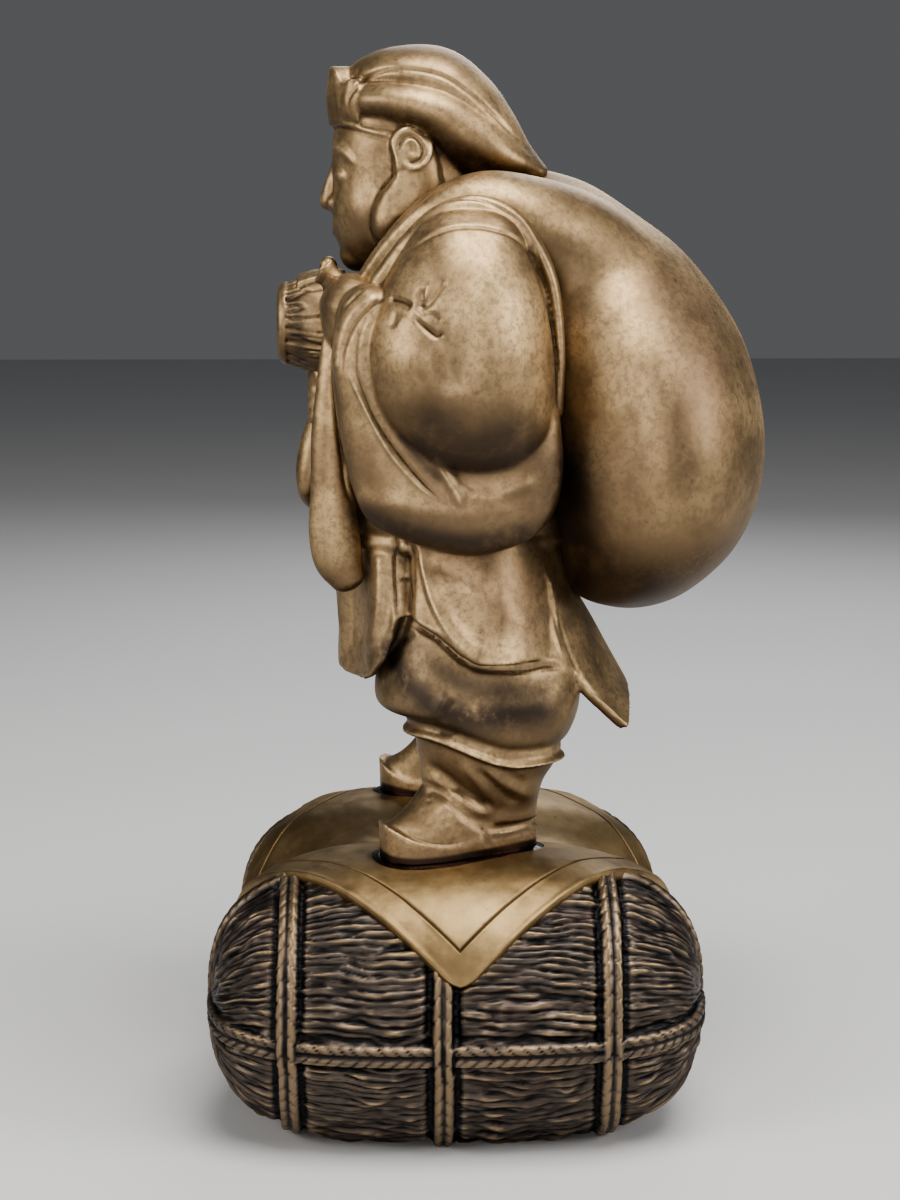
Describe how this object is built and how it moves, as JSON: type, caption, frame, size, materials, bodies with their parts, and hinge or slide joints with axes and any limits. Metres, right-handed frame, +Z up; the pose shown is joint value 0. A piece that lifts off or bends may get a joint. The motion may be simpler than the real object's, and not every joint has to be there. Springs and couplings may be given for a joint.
{
  "type": "daikoku figure",
  "caption": "Cast bronze figure of Daikoku with a sack and a mallet, standing on rice bales under a square cloth: a small household ornament that stands by its own weight.",
  "frame": {"origin": "middle of the object's box, on the surface that the bales stand on", "axes": "+Z up, the figure faces -Y, its left hand is on the +X side"},
  "size_m": [0.2404, 0.2512, 0.4799],
  "materials": {
    "golden_bronze": "satin, with brown patina in the hollows",
    "dark_bronze": "dark brown patina, rubbed bright on the ridges and on the cloth"
  },
  "bodies": {
    "root": {"figure": "golden_bronze", "rice_bales": "dark_bronze"}
  },
  "joints": []
}
